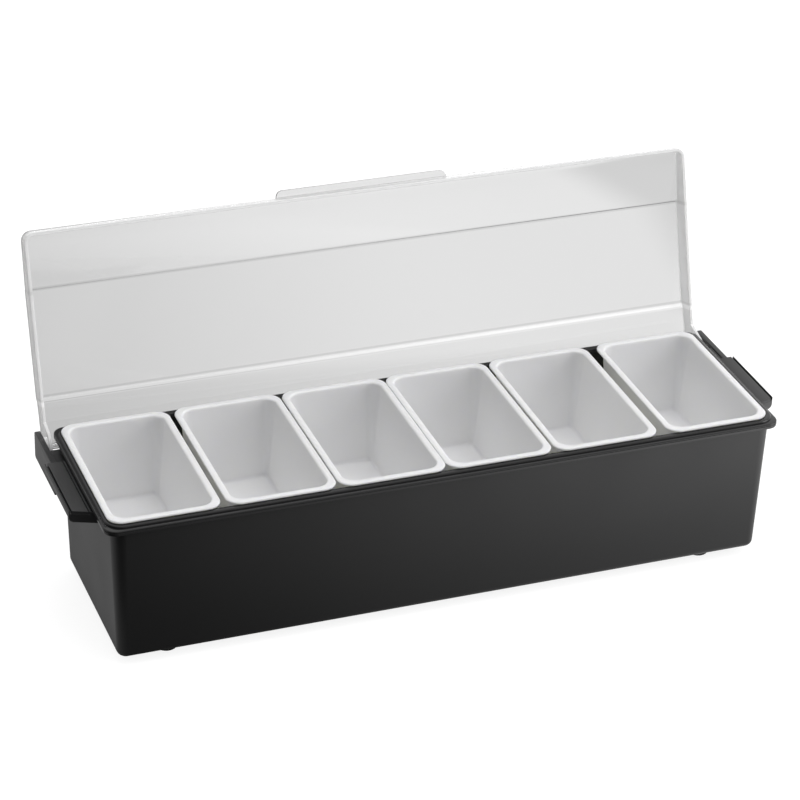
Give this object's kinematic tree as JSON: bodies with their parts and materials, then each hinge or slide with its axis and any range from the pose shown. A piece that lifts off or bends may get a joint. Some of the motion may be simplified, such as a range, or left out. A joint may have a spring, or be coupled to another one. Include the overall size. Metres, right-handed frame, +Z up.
{
  "type": "condiment caddy",
  "caption": "long black condiment caddy with lift-out white trays side by side over an ice well, end handles and a clear hinged lid standing open",
  "frame": {"origin": "on the table, under the middle of the whole part with its lid open; the tub's own middle is 29.6 mm in front of it", "axes": "+X runs along the tub to the right, +Y to the rear where the lid hinges, +Z up"},
  "size_m": [0.534, 0.2088, 0.2489],
  "materials": {
    "tub": "black moulded plastic, textured walls and polished rim",
    "handle": "matte black moulded plastic",
    "grip": "fine matte black",
    "clear_lid": "clear polished plastic",
    "tray": "smooth white plastic",
    "foot": "black rubber"
  },
  "bodies": {
    "base": {"base_tub": "tub", "left_handle": "handle", "right_handle": "handle", "left_grip_pad": "grip", "right_grip_pad": "grip", "foot_front_left": "foot", "foot_front_right": "foot", "foot_rear_left": "foot", "foot_rear_right": "foot"},
    "lid": {"lid": "clear_lid"},
    "tray_1": {"tray_1": "tray"},
    "tray_2": {"tray_2": "tray"},
    "tray_3": {"tray_3": "tray"},
    "tray_4": {"tray_4": "tray"},
    "tray_5": {"tray_5": "tray"},
    "tray_6": {"tray_6": "tray"}
  },
  "joints": [
    {"name": "lid_hinge", "type": "hinge", "parent": "base", "child": "lid", "pos_m": [0, 0.04311, 0.104], "axis": [-1, 0, 0], "range_deg": [-106.6, 0]},
    {"name": "tray_1_lift", "type": "slide", "parent": "base", "child": "tray_1", "axis": [0, 0, 1], "range_m": [0, 0.1]},
    {"name": "tray_2_lift", "type": "slide", "parent": "base", "child": "tray_2", "axis": [0, 0, 1], "range_m": [0, 0.1]},
    {"name": "tray_3_lift", "type": "slide", "parent": "base", "child": "tray_3", "axis": [0, 0, 1], "range_m": [0, 0.1]},
    {"name": "tray_4_lift", "type": "slide", "parent": "base", "child": "tray_4", "axis": [0, 0, 1], "range_m": [0, 0.1]},
    {"name": "tray_5_lift", "type": "slide", "parent": "base", "child": "tray_5", "axis": [0, 0, 1], "range_m": [0, 0.1]},
    {"name": "tray_6_lift", "type": "slide", "parent": "base", "child": "tray_6", "axis": [0, 0, 1], "range_m": [0, 0.1]}
  ]
}
